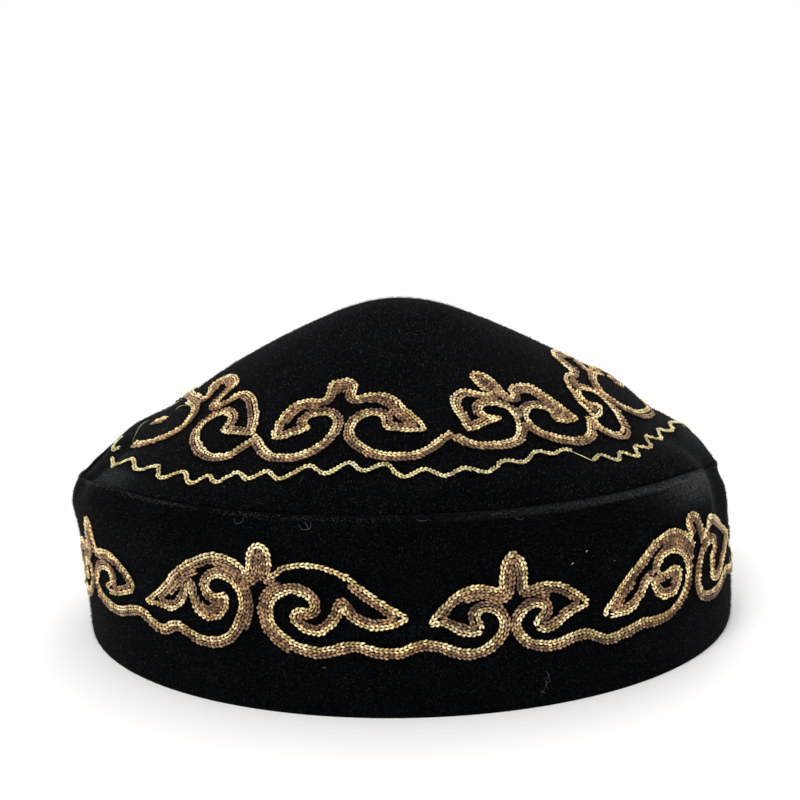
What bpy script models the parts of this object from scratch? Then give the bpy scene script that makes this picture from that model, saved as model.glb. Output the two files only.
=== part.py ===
"""Oval velvet cap: an upright band with a flat hem, and a crown that rises to a low round peak.

The band and the crown are two closed walls that meet edge to edge at the seam. Both are worked
out from one oval. A place on the cap is given by its angle, in degrees round the oval with 0 at
the right end and -90 at the middle of the front, and by its station: 0 at the hem, 1 at the seam
and 2 at the peak. The front faces -Y, the long side lies along X and the hem stands on Z = 0.
"""
from collections import namedtuple

import bmesh
import bpy
import numpy as np

MM = 0.001

# Driving dimensions, in metres: the outside of the hem, and the height where crown and band meet
HALF_LENGTH = 100.0 * MM
HALF_WIDTH = 87.0 * MM
SEAM_HEIGHT = 52.6 * MM
BAND_WALL = 3.0 * MM
CROWN_WALL = 2.5 * MM

# The crown's edge lies this far inside the hem's oval, with a gap between it and the band's edge
EDGE_INSET = 4.2 * MM
SEAM_GAP = 0.3 * MM

# The band leans a little towards the left end, and the whole cap is set over the middle of its box
LEAN = 2.0 * MM
CENTRE_SHIFT = 0.69 * MM

COLUMNS = 90
SMALL_STEP = 0.001

# The band's outside: station, and how far it stands outside the hem's oval
BandRow = namedtuple("BandRow", "station outward")
BAND_PROFILE = (
    BandRow(0.00, 0.0 * MM),
    BandRow(0.02, 0.2 * MM),
    BandRow(0.06, 0.3 * MM),
    BandRow(0.25, 0.3 * MM),
    BandRow(0.50, 0.1 * MM),
    BandRow(0.70, 0.4 * MM),
    BandRow(0.82, 0.2 * MM),
    BandRow(0.90, -0.9 * MM),
    BandRow(0.96, -2.4 * MM),
    BandRow(1.00, -3.9 * MM),
)

# The crown's outside: share of the way from the peak to its edge, and height over the edge
CrownRow = namedtuple("CrownRow", "share rise")
CROWN_PROFILE = (
    CrownRow(0.00, 44.2 * MM),
    CrownRow(0.08, 43.5 * MM),
    CrownRow(0.16, 41.6 * MM),
    CrownRow(0.25, 38.3 * MM),
    CrownRow(0.36, 33.6 * MM),
    CrownRow(0.48, 27.9 * MM),
    CrownRow(0.62, 21.0 * MM),
    CrownRow(0.76, 14.0 * MM),
    CrownRow(0.88, 7.6 * MM),
    CrownRow(0.95, 3.6 * MM),
    CrownRow(1.00, 0.0 * MM),
)

# Where the seam sinks at the two ends, over the last part of the crown
SeamDip = namedtuple("SeamDip", "angle half_width depth")
SEAM_DIPS = (
    SeamDip(180.0, 14.0, 8.5 * MM),
    SeamDip(0.0, 15.0, 7.5 * MM),
)
DIP_STARTS = 0.86

# Creases that run up over the seam: depth grows from start to full, holds, and is gone at end
Crease = namedtuple("Crease", "angle half_width depth start full hold end")
CREASES = (
    Crease(-161.0, 4.0, 2.4 * MM, 0.80, 1.00, 1.06, 1.22),
    Crease(-20.0, 4.5, 3.2 * MM, 0.35, 0.85, 1.00, 1.20),
)

# Places where the cloth swells outwards, or falls in where the amount is negative
Swell = namedtuple("Swell", "angle half_width amount station spread")
SWELLS = (
    Swell(180.0, 18.0, 3.6 * MM, 0.97, 0.12),
    Swell(0.0, 16.0, -1.0 * MM, 0.92, 0.07),
    Swell(-2.0, 16.0, 3.0 * MM, 1.05, 0.05),
)

# Hollows in the slope of the crown above the two ends
Hollow = namedtuple("Hollow", "angle half_width depth share spread")
HOLLOWS = (
    Hollow(180.0, 34.0, 3.8 * MM, 0.81, 0.13),
    Hollow(0.0, 28.0, 5.0 * MM, 0.86, 0.06),
)

# A swell or crease moves the cloth sideways on the band and mostly downwards on the crown
TiltRow = namedtuple("TiltRow", "station downward")
TILT = (
    TiltRow(0.0, 0.0),
    TiltRow(0.8, 0.0),
    TiltRow(1.0, 0.6),
    TiltRow(1.3, 0.8),
    TiltRow(2.0, 1.0),
)
SIDEWAYS_LOSS = 0.6

# Rings of points up the outside and down the inside of each wall
BAND_OUTSIDE = (0.0, 0.02, 0.06, 0.20, 0.35, 0.50, 0.62, 0.72, 0.82, 0.90, 0.96)
BAND_INSIDE = (0.90, 0.72, 0.50, 0.25, 0.0)
CROWN_OUTSIDE = (0.08, 0.16, 0.25, 0.36, 0.48, 0.58, 0.68, 0.76, 0.83, 0.89, 0.94, 0.97, 1.0)
CROWN_INSIDE = (1.0, 0.94, 0.86, 0.76, 0.62, 0.48, 0.32, 0.16)

CROWN_COLOUR = (0.012, 0.012, 0.014, 1.0)
BAND_COLOUR = (0.009, 0.009, 0.011, 1.0)


def remove_all():
    """Empty the scene."""
    for item in list(bpy.data.objects):
        bpy.data.objects.remove(item, do_unlink=True)


def smooth(x):
    """Rise from 0 to 1 as x goes from 0 to 1, level at both ends."""
    x = np.clip(x, 0.0, 1.0)
    return x * x * (3.0 - 2.0 * x)


def bell(x):
    """Rounded bump of height 1 at x = 0."""
    return np.exp(-0.5 * x * x)


def away(angle, centre):
    """Degrees from centre to angle, the short way round."""
    return (angle - centre + 180.0) % 360.0 - 180.0


def curve(x, rows):
    """Cubic curve through the rows that never overshoots them, level at its first row."""
    places, values = np.array(rows, dtype=float).T
    slopes = np.diff(values) / np.diff(places)
    before, after = slopes[:-1], slopes[1:]
    turning = before * after <= 0.0
    total = np.where(turning, 1.0, before + after)
    inner = np.where(turning, 0.0, 2.0 * before * after / total)
    tangents = np.concatenate([[0.0], inner, slopes[-1:]])
    i = np.clip(np.searchsorted(places, x, side="right") - 1, 0, len(places) - 2)
    width = places[i + 1] - places[i]
    t = np.clip((x - places[i]) / width, 0.0, 1.0)
    start = (1.0 + 2.0 * t) * (1.0 - t) ** 2 * values[i] + t * (1.0 - t) ** 2 * width * tangents[i]
    end = t * t * (3.0 - 2.0 * t) * values[i + 1] + t * t * (t - 1.0) * width * tangents[i + 1]
    return start + end


def oval(angle, outward):
    """Point on the hem's oval moved outward along its normal, and that normal."""
    radians = np.radians(angle)
    across, along = np.cos(radians), np.sin(radians)
    normal = np.stack([across / HALF_LENGTH, along / HALF_WIDTH], axis=-1)
    normal /= np.linalg.norm(normal, axis=-1, keepdims=True)
    point = np.stack([HALF_LENGTH * across, HALF_WIDTH * along], axis=-1)
    return point + normal * np.asarray(outward)[..., None], normal


def seam_drop(angle):
    """How far the seam lies under its usual height."""
    return sum(dip.depth * bell(away(angle, dip.angle) / dip.half_width) for dip in SEAM_DIPS)


def inward(angle, station):
    """How far creases and swells move the cloth in from its plain shape."""
    total = 0.0
    for crease in CREASES:
        grows = smooth((station - crease.start) / (crease.full - crease.start))
        fades = 1.0 - smooth((station - crease.hold) / (crease.end - crease.hold))
        across = bell(away(angle, crease.angle) / crease.half_width)
        total = total + crease.depth * across * grows * fades
    for swell in SWELLS:
        across = bell(away(angle, swell.angle) / swell.half_width)
        total = total - swell.amount * across * bell((station - swell.station) / swell.spread)
    return total


def shaped(points, normal, angle, station):
    """Lean the points, move them by the creases and swells, and centre them."""
    depth = inward(angle, station)
    downward = curve(station, TILT)
    sideways = depth * (1.0 - SIDEWAYS_LOSS * downward)
    lean = LEAN * (0.5 - smooth(station))
    points[..., 0] += lean + CENTRE_SHIFT - sideways * normal[..., 0]
    points[..., 1] -= sideways * normal[..., 1]
    points[..., 2] -= depth * downward
    return points


def band_face(angle, station):
    """Outside of the band, from the hem at station 0 to the seam at 1."""
    angle, station = np.broadcast_arrays(angle, station)
    plan, normal = oval(angle, curve(station, BAND_PROFILE))
    height = station * (SEAM_HEIGHT - seam_drop(angle))
    points = np.concatenate([plan, height[..., None]], axis=-1)
    return shaped(points, normal, angle, station)


def crown_face(angle, share):
    """Outside of the crown, from the peak at share 0 to its edge at 1."""
    angle, share = np.broadcast_arrays(angle, share)
    plan, normal = oval(angle, np.full(angle.shape, -EDGE_INSET))
    height = SEAM_HEIGHT + curve(share, CROWN_PROFILE)
    height = height - seam_drop(angle) * smooth((share - DIP_STARTS) / (1.0 - DIP_STARTS))
    for hollow in HOLLOWS:
        across = bell(away(angle, hollow.angle) / hollow.half_width)
        height = height - hollow.depth * across * bell((share - hollow.share) / hollow.spread)
    points = np.concatenate([plan * share[..., None], height[..., None]], axis=-1)
    return shaped(points, normal, angle, 2.0 - share)


def crown_slopes(angle, share):
    """Unit vector down the slope of the crown, and the outward normal there."""
    inner = np.clip(share - SMALL_STEP, SMALL_STEP, 1.0)
    down = crown_face(angle, inner + SMALL_STEP) - crown_face(angle, inner)
    around = crown_face(angle + 0.5, share) - crown_face(angle - 0.5, share)
    normal = np.cross(down, around)
    down /= np.linalg.norm(down, axis=-1, keepdims=True)
    return down, normal / np.linalg.norm(normal, axis=-1, keepdims=True)


def band_rings(angle):
    """Rings round the band's wall: up the outside, over its top edge and down the inside."""
    outside = [band_face(angle, np.full(angle.shape, station)) for station in BAND_OUTSIDE]
    edge = np.full(angle.shape, 1.0)
    down, normal = crown_slopes(angle, edge)
    outer_edge = crown_face(angle, edge) + SEAM_GAP * down
    inner_edge = outer_edge - CROWN_WALL * normal
    inside = []
    for station in BAND_INSIDE:
        ring = band_face(angle, np.full(angle.shape, station))
        ring[:, :2] -= BAND_WALL * oval(angle, np.zeros(angle.shape))[1]
        inside.append(ring)
    return outside + [outer_edge, inner_edge] + inside


def crown_rings(angle):
    """Rings down the crown's outside, round its edge and up the inside."""
    outside = [crown_face(angle, np.full(angle.shape, share)) for share in CROWN_OUTSIDE]
    inside = []
    for share in CROWN_INSIDE:
        places = np.full(angle.shape, share)
        normal = crown_slopes(angle, places)[1]
        inside.append(crown_face(angle, places) - CROWN_WALL * normal)
    return outside + inside


def loft(mesh, rings):
    """Make the rings' points and the quads between each ring and the next."""
    rows = [[mesh.verts.new(point) for point in ring] for ring in rings]
    for row, following in zip(rows, rows[1:]):
        for i in range(COLUMNS):
            j = (i + 1) % COLUMNS
            mesh.faces.new((row[i], row[j], following[j], following[i]))
    return rows


def fan(mesh, row, tip):
    """Close a ring with triangles that meet in one point."""
    point = mesh.verts.new(tip)
    for i in range(COLUMNS):
        mesh.faces.new((row[i], row[(i + 1) % COLUMNS], point))


def velvet(name, colour):
    """Dull dark pile with a faint sheen."""
    material = bpy.data.materials.new(name)
    material.use_nodes = True
    surface = material.node_tree.nodes["Principled BSDF"]
    surface.inputs["Base Color"].default_value = colour
    surface.inputs["Roughness"].default_value = 0.95
    surface.inputs["Metallic"].default_value = 0.0
    surface.inputs["Sheen Weight"].default_value = 0.4
    return material


def place(name, mesh, height, colour, parent):
    """Turn a closed mesh into a smooth object that sits at a height over the floor."""
    bmesh.ops.recalc_face_normals(mesh, faces=mesh.faces)
    bmesh.ops.translate(mesh, verts=mesh.verts, vec=(0.0, 0.0, -height))
    data = bpy.data.meshes.new(name)
    mesh.to_mesh(data)
    mesh.free()
    data.shade_smooth()
    data.set_sharp_from_angle(angle=np.radians(50.0))
    data.materials.append(velvet(name + "_velvet", colour))
    item = bpy.data.objects.new(name, data)
    item.location = (0.0, 0.0, height)
    item.parent = parent
    bpy.context.collection.objects.link(item)
    return item


def make_band(angle, parent):
    """Upright wall, closed from the last ring back to the first along the flat hem."""
    mesh = bmesh.new()
    rows = loft(mesh, band_rings(angle))
    for i in range(COLUMNS):
        j = (i + 1) % COLUMNS
        mesh.faces.new((rows[-1][i], rows[-1][j], rows[0][j], rows[0][i]))
    return place("band", mesh, 0.0, BAND_COLOUR, parent)


def make_crown(angle, parent):
    """Domed wall, closed at the peak on its outside and inside."""
    mesh = bmesh.new()
    rows = loft(mesh, crown_rings(angle))
    peak = crown_face(np.zeros(1), np.zeros(1))[0]
    fan(mesh, rows[0], peak)
    fan(mesh, rows[-1], peak - (0.0, 0.0, CROWN_WALL))
    return place("crown", mesh, SEAM_HEIGHT, CROWN_COLOUR, parent)


def main():
    remove_all()
    cap = bpy.data.objects.new("cap", None)
    bpy.context.collection.objects.link(cap)
    angle = np.arange(COLUMNS) * 360.0 / COLUMNS
    make_band(angle, cap)
    make_crown(angle, cap)


main()
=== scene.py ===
"""Looks of an oval black velvet cap with chain stitch scrolls on its band and its crown.

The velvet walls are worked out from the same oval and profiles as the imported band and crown, on
a finer grid. A place on the cap is given by its angle, in degrees round the oval with 0 at the
right end and -90 at the middle of the front, and by its station: 0 at the hem, 1 at the seam and
2 at the peak. The embroidery is charted flat, in millimetres, and laid onto the velvet link by
link. Lengths are in metres unless a name or a comment says millimetres.
"""
from collections import namedtuple

import bpy
import numpy as np
from mathutils import Matrix, Vector


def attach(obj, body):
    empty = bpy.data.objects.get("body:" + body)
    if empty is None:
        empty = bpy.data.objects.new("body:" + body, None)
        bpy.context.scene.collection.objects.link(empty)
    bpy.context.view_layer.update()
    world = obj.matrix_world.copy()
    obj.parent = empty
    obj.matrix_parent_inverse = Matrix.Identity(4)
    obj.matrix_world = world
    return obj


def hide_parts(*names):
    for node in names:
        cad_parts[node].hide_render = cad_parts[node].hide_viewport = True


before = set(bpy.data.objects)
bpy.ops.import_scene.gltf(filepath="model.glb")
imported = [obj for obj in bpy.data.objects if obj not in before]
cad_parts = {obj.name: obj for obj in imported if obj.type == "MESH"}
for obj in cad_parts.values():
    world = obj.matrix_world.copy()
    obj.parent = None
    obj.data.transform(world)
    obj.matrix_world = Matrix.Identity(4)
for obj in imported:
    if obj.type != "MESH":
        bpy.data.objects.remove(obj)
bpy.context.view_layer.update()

MM = 0.001

# Shape of the cap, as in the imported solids
HALF_LENGTH = 100.0 * MM
HALF_WIDTH = 87.0 * MM
SEAM_HEIGHT = 52.6 * MM
BAND_WALL = 3.0 * MM
CROWN_WALL = 2.5 * MM
EDGE_INSET = 4.2 * MM
SEAM_GAP = 0.3 * MM
LEAN = 2.0 * MM
CENTRE_SHIFT = 0.69 * MM
FRONT = -90.0

# Steps over which slopes are measured: of a station or share, and in degrees round each wall
SMALL_STEP = 0.001
BAND_TURN = 0.3
CROWN_TURN = 0.5

# The band's outside: station, and how far it stands outside the hem's oval in millimetres
BAND_PROFILE = (
    (0.00, 0.0), (0.02, 0.2), (0.06, 0.3), (0.25, 0.3), (0.50, 0.1), (0.70, 0.4), (0.82, 0.2),
    (0.90, -0.9), (0.96, -2.4), (1.00, -3.9),
)

# The crown's outside: share of the way from the peak to its edge, and millimetres over the edge
CROWN_PROFILE = (
    (0.00, 44.2), (0.08, 43.5), (0.16, 41.6), (0.25, 38.3), (0.36, 33.6), (0.48, 27.9), (0.62, 21.0),
    (0.76, 14.0), (0.88, 7.6), (0.95, 3.6), (1.00, 0.0),
)

SeamDip = namedtuple("SeamDip", "angle half_width depth")
SEAM_DIPS = (
    SeamDip(180.0, 14.0, 8.5 * MM),
    SeamDip(0.0, 15.0, 7.5 * MM),
)
DIP_STARTS = 0.86

Crease = namedtuple("Crease", "angle half_width depth start full hold end")
CREASES = (
    Crease(-161.0, 4.0, 2.4 * MM, 0.80, 1.00, 1.06, 1.22),
    Crease(-20.0, 4.5, 3.2 * MM, 0.35, 0.85, 1.00, 1.20),
)

Swell = namedtuple("Swell", "angle half_width amount station spread")
SWELLS = (
    Swell(180.0, 18.0, 3.6 * MM, 0.97, 0.12),
    Swell(0.0, 16.0, -1.0 * MM, 0.92, 0.07),
    Swell(-2.0, 16.0, 3.0 * MM, 1.05, 0.05),
)

Hollow = namedtuple("Hollow", "angle half_width depth share spread")
HOLLOWS = (
    Hollow(180.0, 34.0, 3.8 * MM, 0.81, 0.13),
    Hollow(0.0, 28.0, 5.0 * MM, 0.86, 0.06),
)

# Rims where the pile is crushed pale, and ledges and fold edges painted pale as a sheen highlight: partly
# crushed pile, partly painted sheen
Ridge = namedtuple("Ridge", "angle half_width start rise end amount")
RIDGES = (
    Ridge(-33.0, 6.5, 0.78, 0.19, 0.97, 0.85),
    Ridge(-40.0, 9.0, 0.955, 0.015, 0.98, 0.45),
    Ridge(-62.0, 12.0, 0.955, 0.015, 0.98, 0.22),
    Ridge(-10.0, 8.0, 1.00, 0.04, 1.09, 0.20),
    Ridge(-28.3, 0.6, 0.70, 0.10, 1.00, 0.50),
    Ridge(-161.0, 1.0, 0.93, 0.05, 1.10, 0.30),
    Ridge(-150.0, 5.0, 0.97, 0.03, 1.04, 0.35),
)
RIDGE_FADE = 0.02

# How much of the depth of a crease or swell also goes down: station, and share
TILT = ((0.0, 0.0), (0.8, 0.0), (1.0, 0.6), (1.3, 0.8), (2.0, 1.0))
SIDEWAYS_LOSS = 0.6

# Fineness of the velvet walls and of their arc lengths, and where their outside and inside end
COLUMNS = 480
BAND_RINGS = 64
CROWN_RINGS = 84
INSIDE_RINGS = 14
BAND_TOP = 0.985
INSIDE_TOP = 0.90
PEAK_SHARE = 0.02
INSIDE_PEAK_SHARE = 0.04
ARC_STEPS = 7201
SLOPE_STEPS = 400

# Chain stitch, in millimetres. A third row lies THIRD_ROW pitches from the gold one. A row is cut
# where it is nearer to the charted line than its offset by more than the slack. CHART_STEP is the
# step between a line's points, of which one in TESTED_EVERY is measured to.
ROW_PITCH = 1.5
LINK_PITCH = 1.25
THIRD_ROW = 1.8
ROW_SLACK = 0.12
THIRD_SLACK = 0.65
CHART_STEP = 0.15
TESTED_EVERY = 3
STRAND_SIDES = 5
# Each ring's shade is painted shade: strands dark at their tips, where the links overlap, and light at the
# top
StrandRing = namedtuple("StrandRing", "along aside height radius shade")
STRAND = (
    StrandRing(-0.45, 0.06, 0.04, 0.00, 0.12),
    StrandRing(-0.10, 0.19, 0.38, 0.22, 0.60),
    StrandRing(0.50, 0.42, 0.58, 0.32, 1.00),
    StrandRing(1.05, 0.50, 0.36, 0.23, 0.70),
    StrandRing(1.40, 0.42, 0.03, 0.00, 0.12),
)
# Painted shade on the underside of each strand, and how far down from its top the painted light reaches
UNDERSIDE_SHADE = 0.15
LIT_REACH = 0.7

# How much links differ: in width, in height and sideways, and the darkest of them
WIDTH_SPREAD = 0.11
HEIGHT_SPREAD = 0.13
SIDE_SPREAD = 0.08
DARKEST_LINK = 0.5

# Charts of the scrolls, in millimetres from each scroll's own middle and up from the hem or the
# seam. A chart is one line that the gold row follows from left to right, cut at its sharp tips. A
# span is part of one run, as shares of its length: some have a third row, some no brown row.
Chart = namedtuple("Chart", "runs third bare", defaults=((),))
Span = namedtuple("Span", "run start end")
BROAD_SCROLL = Chart((
    ((-33, 18.6), (-31, 18.7), (-28.8, 20.2), (-26.5, 20.8), (-24, 20.1), (-21, 18.6), (-17.5, 17.8),
     (-14, 18), (-11, 19.2), (-8.5, 21.5), (-6.7, 24.6), (-5.3, 28), (-5.3, 31.5), (-6.9, 34.5),
     (-9.5, 35.7), (-12.3, 35.5), (-14.5, 33.9), (-15.1, 32), (-14.5, 30.6), (-12.4, 30.3), (-9.7, 30.8)),
    ((-9.5, 30.6), (-9.6, 28.5), (-10.8, 26), (-13.4, 24), (-16, 23.5), (-18.5, 24.6), (-20.1, 26.8),
     (-20.6, 29.5), (-20.9, 32), (-21.5, 32.6), (-22, 31), (-22.9, 28.4), (-25, 25.9), (-28.4, 24.6),
     (-33, 25), (-37.5, 24.4)),
    ((-37.8, 24.6), (-34.2, 27.1), (-31, 29.4), (-28, 32.3), (-25, 35.2), (-21.5, 37.4), (-17.5, 39.5),
     (-14, 40.8), (-10.5, 41.2), (-7, 40.5), (-4.3, 38.9), (-2.9, 37.2), (-2.3, 38), (-2.1, 40.5),
     (-1.4, 43), (0, 44.7), (1.6, 44.9), (3.1, 43.7), (3.7, 41.5), (3.5, 39), (3, 37.4), (3.4, 36.7),
     (4.4, 37.2), (7.3, 39.4), (11, 40.4), (15, 40.5), (19, 39.6), (23, 37.9), (27, 34.7), (31, 31.4),
     (34.5, 28.8), (37.4, 27.2)),
    ((37.5, 26.9), (35, 25.3), (31.5, 24.4), (28, 24.6), (25, 25.9), (23, 27.6), (22.2, 29.5),
     (21.7, 30.2), (21.3, 29), (20.3, 26.7), (18.2, 24.5), (15.6, 22.7), (13, 22.7), (10.2, 23.9),
     (8.5, 25.8), (8.9, 27.6), (10.8, 28.8), (12.8, 28.4), (14.1, 29.4), (14, 31.2), (12.4, 32.9),
     (9.5, 33.6), (6.6, 32.8), (4, 30.9), (2.8, 28.2), (2.8, 25.2), (4.2, 22.7), (7, 20.4), (11, 18.7),
     (15, 18.2), (19, 19.2), (23, 20.2), (26.5, 19.8), (30, 18.5), (33, 18.3)),
), (
    Span(0, 0.50, 0.80), Span(1, 0.05, 0.38), Span(2, 0.10, 0.24), Span(2, 0.36, 0.50),
    Span(3, 0.56, 0.74),
), (Span(2, 0.622, 0.84),))
BENT_BROAD_SCROLL = Chart((
    ((-33, 16.4), (-29, 17), (-26, 17.7), (-22, 17.4), (-18, 17.1), (-14, 17.6), (-11, 18.8), (-8.6, 20.3),
     (-6.4, 22.5), (-5, 25), (-4.7, 27.5), (-5.5, 30), (-7, 32), (-9.2, 33.6), (-12, 34.3), (-14.5, 34.1),
     (-16.7, 33), (-18, 31.2), (-17.9, 29.6), (-16.5, 28.6), (-14.8, 28.7)),
    ((-14.6, 28.9), (-12, 29.3), (-9.5, 29), (-8.2, 27), (-9, 24.5), (-11, 22.5), (-13.5, 22),
     (-16.5, 22.5), (-18.8, 24.2), (-19.8, 26.5), (-20.8, 28.7), (-22, 28), (-23.5, 25.5), (-26, 23),
     (-29, 21.5), (-33, 21.3), (-37.5, 21.3)),
    ((-37.6, 21.7), (-34.5, 25), (-31.5, 28.2), (-29, 30.5), (-25, 33.6), (-22, 36), (-19, 38), (-16, 39.2),
     (-12.5, 39.7), (-9.5, 39.3), (-7, 38.3), (-4.5, 36.6), (-2.5, 34.8), (-0.9, 33.3)),
    ((-2.3, 35.9), (-3.2, 37.5), (-4.1, 39.3), (-4.3, 41), (-3.4, 42.3), (-1.8, 42.6), (0.2, 41.8),
     (2, 39.6), (3.3, 37.2), (4.1, 35), (4.9, 34.2), (5.6, 35), (6.5, 36.9), (7.8, 38.7)),
    ((8.2, 39.2), (11, 38.9), (15, 37.2), (19, 35.8), (23, 34.3), (27, 32.5), (31, 30.8), (34, 29)),
    ((34, 28.3), (30, 26.8), (26, 25.6), (22.5, 24.4), (20, 23.6), (17.5, 22), (15.5, 20.6), (13.5, 20),
     (11, 20.3), (9.2, 22), (9.6, 24), (9.2, 26), (9.8, 28), (11.5, 28.9), (12.3, 30), (10.8, 31.6),
     (8, 32), (5.5, 31), (3.1, 28.2), (1.4, 24.2), (1.4, 20.4), (3.4, 18.1), (7, 17.1), (11, 17.1),
     (14.5, 17.6), (18, 18.9), (21, 20), (24, 20.2), (27, 19.4), (33, 18.4)),
), (Span(0, 0.62, 0.82), Span(1, 0.05, 0.30), Span(2, 0.10, 0.30), Span(2, 0.62, 0.92)))
TALL_TOP = (
    ((-33, 18.4), (-30, 18.5), (-27, 19.6), (-23.5, 20.5), (-20, 19.9), (-17, 18.7), (-14, 17.6),
     (-11, 17.5), (-8, 18.5), (-5.5, 20.3), (-3.9, 22.8), (-3.9, 25.5), (-5.4, 27.5), (-7.7, 28.2),
     (-9.8, 27.3), (-10, 25.8), (-9, 24.3), (-8.9, 22.9)),
    ((-9.2, 22.2), (-12, 21.9), (-14.5, 22.6), (-17, 24.1), (-19.5, 25.3), (-21.9, 24.8)),
    ((-21.7, 25.2), (-19.8, 27.6), (-17.3, 30.5), (-14.4, 32.8), (-11, 34.1), (-7.5, 34.1), (-4.6, 33),
     (-3.6, 32.6), (-3.2, 33.3), (-3.1, 35.5), (-2.6, 38.3), (-1.5, 41), (-0.1, 42.3)),
    ((0.1, 42.3), (1.8, 40.8), (2.8, 38.3), (3, 35.5), (2.8, 33.2), (3.2, 32.3), (4.2, 32.5), (6, 33),
     (9, 33.2), (12.5, 32.2), (16.5, 30), (19.5, 27.8), (20.3, 27.2)),
    ((20.2, 26.7), (17, 25.5), (14.2, 24), (12, 22.2), (9.3, 21), (7, 21), (5.7, 21.9)),
)
TALL_LOOP = (
    (5.4, 22.4), (5.5, 24), (6.8, 24.9), (7.9, 26.2), (7.4, 27.6), (5.6, 28.1), (3.3, 27.2), (1.4, 25.5),
    (0.6, 23.2), (1.2, 20.9), (3.2, 18.9), (6, 17.7), (9.3, 17.2),
)
LOW_WAVE = ((13, 18), (16.5, 19), (19.5, 19.4), (22.5, 18.7), (26, 17.8), (29.5, 17.9), (33, 18.4))
HIGH_WAVE = ((13, 17.8), (16.5, 18.6), (19.5, 20.6), (22, 21.3), (25, 20.9), (28.5, 18.9), (33, 18.4))
TALL_THIRD = (Span(2, 0.35, 0.9), Span(3, 0.5, 0.62))
TALL_SCROLL = Chart(TALL_TOP + (TALL_LOOP + LOW_WAVE,), TALL_THIRD)
WAVED_TALL_SCROLL = Chart(TALL_TOP + (TALL_LOOP + HIGH_WAVE,), TALL_THIRD)
ROUND_TALL_SCROLL = Chart(TALL_TOP[:3] + (
    ((0.1, 42.6), (1.6, 41), (2.8, 38.5), (3.4, 36), (3.7, 34.2), (5, 33.4), (8, 34), (12, 34.2),
     (16, 33.4), (20, 31.4), (22.6, 29.3), (23.6, 27.6), (22.6, 25.8), (20.5, 24.8), (18, 23.9), (15, 23),
     (12, 22.6), (9.6, 22.5)),
    ((8.4, 22.9), (9.2, 24), (11, 24.8), (12.6, 26.2), (12.7, 27.7), (11.4, 28.8), (9.4, 29.2), (6.8, 28.7),
     (4, 27.3), (2, 25), (1.3, 22.9), (2.5, 21), (5, 19.8), (8.5, 18.9), (13, 18.6), (17, 19.2),
     (20, 20.2), (23, 21.2), (25, 21.5), (28, 20.7), (31, 19.2), (33, 18.4)),
), (Span(2, 0.35, 0.9),))
TILTED_CROWN_SCROLL = Chart((
    ((-22.3, 15.5), (-18, 16.4), (-13.1, 17.9), (-9.8, 20.4), (-6.9, 23.6), (-6.8, 26.7), (-9.4, 29.7),
     (-15, 31.2), (-21, 30.9)),
    ((-30.2, 22.8), (-27.4, 24.2), (-24.6, 25.3), (-22.4, 26.2)),
    ((-53.5, 25), (-52.2, 28.4), (-47.5, 31.5), (-40.5, 33.2), (-33, 33.9), (-28, 34.6), (-22, 35.2),
     (-16, 35.8), (-12, 35.9), (-13.5, 36.9), (-16.8, 38), (-18, 40.3), (-16, 43.2), (-11.2, 45.1),
     (-6.3, 44.8), (-3, 42.8), (-2.4, 39.9), (-2, 36.8), (-0.8, 34.9), (0.7, 36.3), (1.7, 39),
     (4, 40.6), (8.7, 40), (15.2, 36.2), (20.8, 31.4), (24.6, 27)),
    ((24.8, 25.3), (22.2, 24.9), (18.6, 24.9), (14.5, 24.9), (12.2, 25.8), (12.2, 27.5), (10.7, 29.6),
     (8.4, 31), (5.6, 31), (3.8, 29), (4.4, 26.1), (7.6, 23.2), (12.2, 20.4), (17.7, 18.3), (22, 17.5),
     (24.8, 18.4), (25.3, 21), (25.8, 23.2), (26.3, 25)),
), (Span(2, 0.41, 0.62),))
LEFT_CROWN_SCROLL = Chart((
    ((-24.7, 25.6), (-22.5, 24), (-21, 22), (-18.5, 19.8), (-15, 19), (-11.5, 19.3), (-8.5, 20.8),
     (-6, 23), (-4.5, 25.7), (-3.5, 28.5), (-3.5, 31), (-4.6, 32.9), (-7, 33.7), (-9.5, 33),
     (-10.7, 31.3), (-10.4, 30.1), (-8.6, 29.6)),
    ((-8.5, 29.2), (-10.5, 27.2), (-13, 26), (-16, 24.4), (-18.5, 24), (-19.7, 24.7)),
    ((-19.9, 25.2), (-20.1, 29), (-19.5, 33), (-18, 36.5), (-15.5, 39), (-12.5, 40.1), (-9.6, 40.1),
     (-8.5, 40.5), (-8.2, 42.5), (-8.5, 45.5), (-7, 48), (-4.5, 48.6), (-1.5, 48), (0, 46), (0.4, 43),
     (0.5, 41.5), (1.2, 41.3), (2.6, 42.4), (5.5, 43), (8.8, 42.4), (12, 40.4), (15, 37), (18, 33.8),
     (21, 30.3), (22.4, 27.3)),
    ((22.2, 26.9), (19, 27), (15, 27.5), (12, 28), (10, 29.2), (9.6, 31), (9, 32.9), (7, 33.8),
     (4.8, 33.2), (3.3, 31.3), (3, 28.5), (4, 25.8), (7, 23), (10, 21), (14, 20), (18, 19.8),
     (21, 20.2), (24, 22.2), (26.5, 25.3), (28.5, 27.2)),
), (Span(2, 0.08, 0.30), Span(2, 0.34, 0.58), Span(2, 0.64, 0.92)))
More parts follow.
